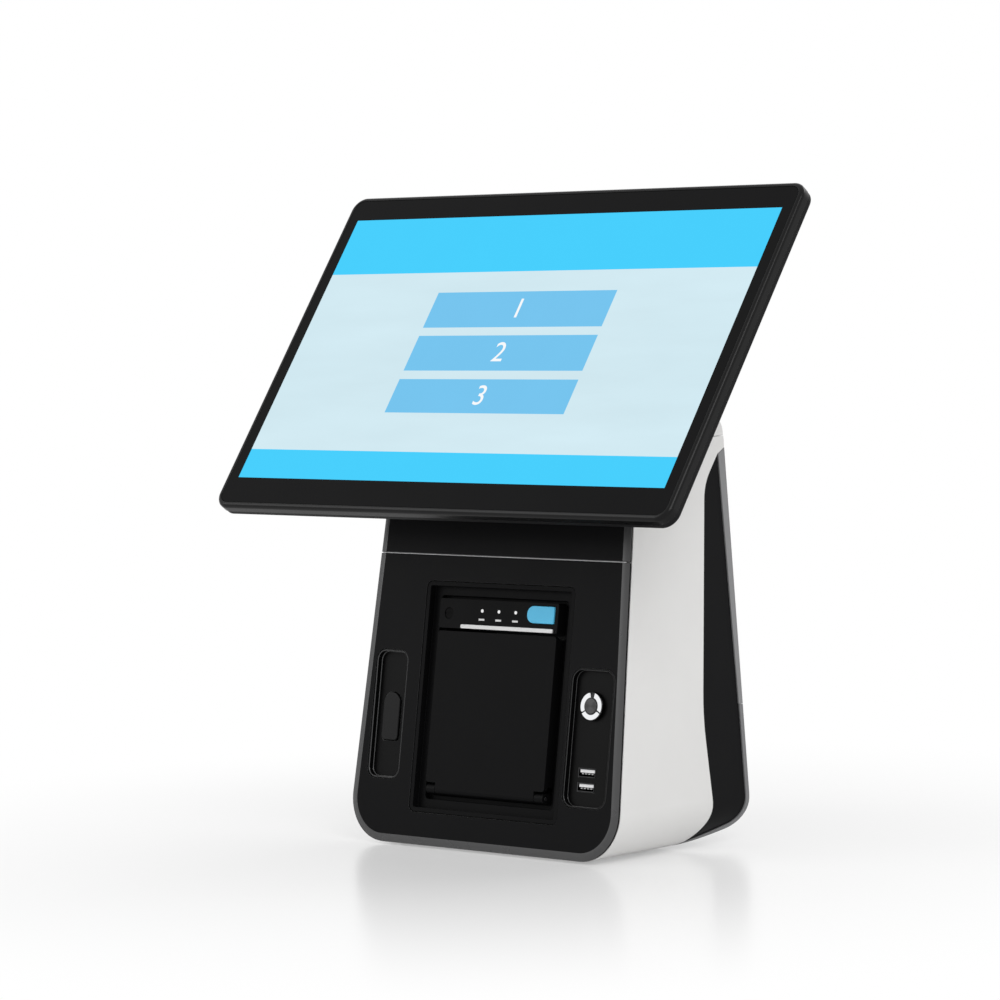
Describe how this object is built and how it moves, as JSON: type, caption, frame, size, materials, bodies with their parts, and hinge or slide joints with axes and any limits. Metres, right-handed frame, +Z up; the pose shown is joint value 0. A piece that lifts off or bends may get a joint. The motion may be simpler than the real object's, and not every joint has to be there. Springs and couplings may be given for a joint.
{
  "type": "countertop queue ticket printer",
  "caption": "Countertop queue ticket printer with a leaning case, a tilting touch display on its head, a panel ticket printer with a drop-down door, a push key, a power button and sockets.",
  "frame": {"origin": "centre of the whole object's footprint box at the feet's underside", "axes": "+X to the object's left side as seen from behind, that is to the right seen from the front, +Y to the case's back, +Z up"},
  "size_m": [0.3662, 0.1611, 0.396],
  "materials": {
    "shell_white": "satin moulded",
    "front_black": "gloss",
    "trim_black": "fine texture",
    "rear_grey": "fine texture",
    "printer_black": "fine texture",
    "steel_bright": "bright",
    "steel_plain": "plain",
    "frame_black": "satin",
    "gear_white": "plain",
    "board_green": "satin",
    "sink_aluminium": "plain",
    "rubber_black": "matt",
    "roller_rubber": "matt",
    "paper_white": "matt",
    "core_brown": "matt",
    "key_grey": "satin",
    "light_clear": "clear",
    "ring_light": "translucent",
    "glass_black": "gloss",
    "panel_dark": "lit screen",
    "tongue_white": "plain",
    "key_blue": "satin",
    "head_ceramic": "plain"
  },
  "bodies": {
    "base_unit": {"wrap_shell": "shell_white", "top_cap": "shell_white", "rear_cover": "rear_grey", "rear_io_cover": "rear_grey", "side_insert_left": "trim_black", "side_insert_right": "trim_black", "neck_fascia": "front_black", "front_panel": "front_black", "latch_recess": "trim_black", "latch_switch": "board_green", "control_recess": "trim_black", "power_button_housing": "steel_bright", "power_button_light": "ring_light", "power_button_nut": "steel_plain", "usb_sockets": "steel_bright", "usb_tongues": "tongue_white", "user_port_board": "board_green", "printer_frame": "printer_black", "printer_chassis": "printer_black", "door_hinge_pin": "steel_plain", "printer_top_cover": "printer_black", "cover_screw": "steel_plain", "tear_bar": "steel_bright", "status_lights": "light_clear", "status_board": "board_green", "gear_plate": "steel_plain", "feed_motor": "steel_plain", "thermal_head": "head_ceramic", "head_bracket": "sink_aluminium", "printer_board": "board_green", "base_plate": "steel_plain", "rubber_feet": "rubber_black", "foot_screws": "steel_plain", "side_frame_left": "steel_plain", "side_frame_right": "steel_plain", "hinge_plate": "frame_black", "board_tray": "steel_plain", "main_board": "board_green", "heat_sink": "sink_aluminium", "rear_ports": "steel_bright", "tilt_shaft": "steel_plain", "tilt_fasteners": "steel_plain"},
    "display_head": {"bezel_ring": "trim_black", "cover_glass": "glass_black", "lcd_panel": "panel_dark", "display_back": "trim_black", "driver_board": "board_green", "display_bracket": "frame_black", "bracket_screws": "steel_plain"},
    "door": {"printer_door": "printer_black"},
    "platen": {"platen_shaft": "steel_plain", "platen_roller": "roller_rubber", "platen_gear": "gear_white"},
    "idler": {"idler_gear": "gear_white"},
    "motor_rotor": {"motor_pinion": "gear_white"},
    "paper": {"paper_roll": "paper_white", "paper_core": "core_brown"},
    "power_key": {"power_button_cap": "steel_bright"},
    "side_key": {"latch_key": "key_grey"},
    "release_key": {"release_button": "key_blue"}
  },
  "joints": [
    {"name": "display_tilt", "type": "hinge", "parent": "base_unit", "child": "display_head", "pos_m": [0, 0.01916, 0.278], "axis": [1, 0, 0], "range_deg": [-25, 15]},
    {"name": "printer_door_open", "type": "hinge", "parent": "base_unit", "child": "door", "pos_m": [0, -0.03639, 0.03507], "axis": [1, 0, 0], "range_deg": [0, 90]},
    {"name": "platen_spin", "type": "hinge", "parent": "door", "child": "platen", "pos_m": [0, -0.00569, 0.12041], "axis": [1, 0, 0], "continuous": true},
    {"name": "idler_spin", "type": "hinge", "parent": "base_unit", "child": "idler", "pos_m": [0, 0.01253, 0.12301], "axis": [1, 0, 0], "continuous": true},
    {"name": "motor_spin", "type": "hinge", "parent": "base_unit", "child": "motor_rotor", "pos_m": [0, 0.02834, 0.11735], "axis": [1, 0, 0], "continuous": true},
    {"name": "paper_roll_spin", "type": "hinge", "parent": "base_unit", "child": "paper", "pos_m": [0.0091, 0.00982, 0.06393], "axis": [1, 0, 0], "continuous": true},
    {"name": "power_button_press", "type": "slide", "parent": "base_unit", "child": "power_key", "axis": [0, 0.9867, -0.1628], "range_m": [0, 0.0012], "stiffness_N_per_m": 600, "springref_m": -0.002},
    {"name": "side_key_press", "type": "slide", "parent": "base_unit", "child": "side_key", "axis": [0, 0.9867, -0.1628], "range_m": [0, 0.0025], "stiffness_N_per_m": 500, "springref_m": -0.002},
    {"name": "release_button_press", "type": "slide", "parent": "base_unit", "child": "release_key", "axis": [0, 0.9867, -0.1628], "range_m": [0, 0.0012], "stiffness_N_per_m": 800, "springref_m": -0.0015}
  ],
  "couplings": [
    {"joint": "idler_spin", "follows": "platen_spin", "ratio": -0.53333},
    {"joint": "motor_spin", "follows": "platen_spin", "ratio": 1.3333}
  ]
}
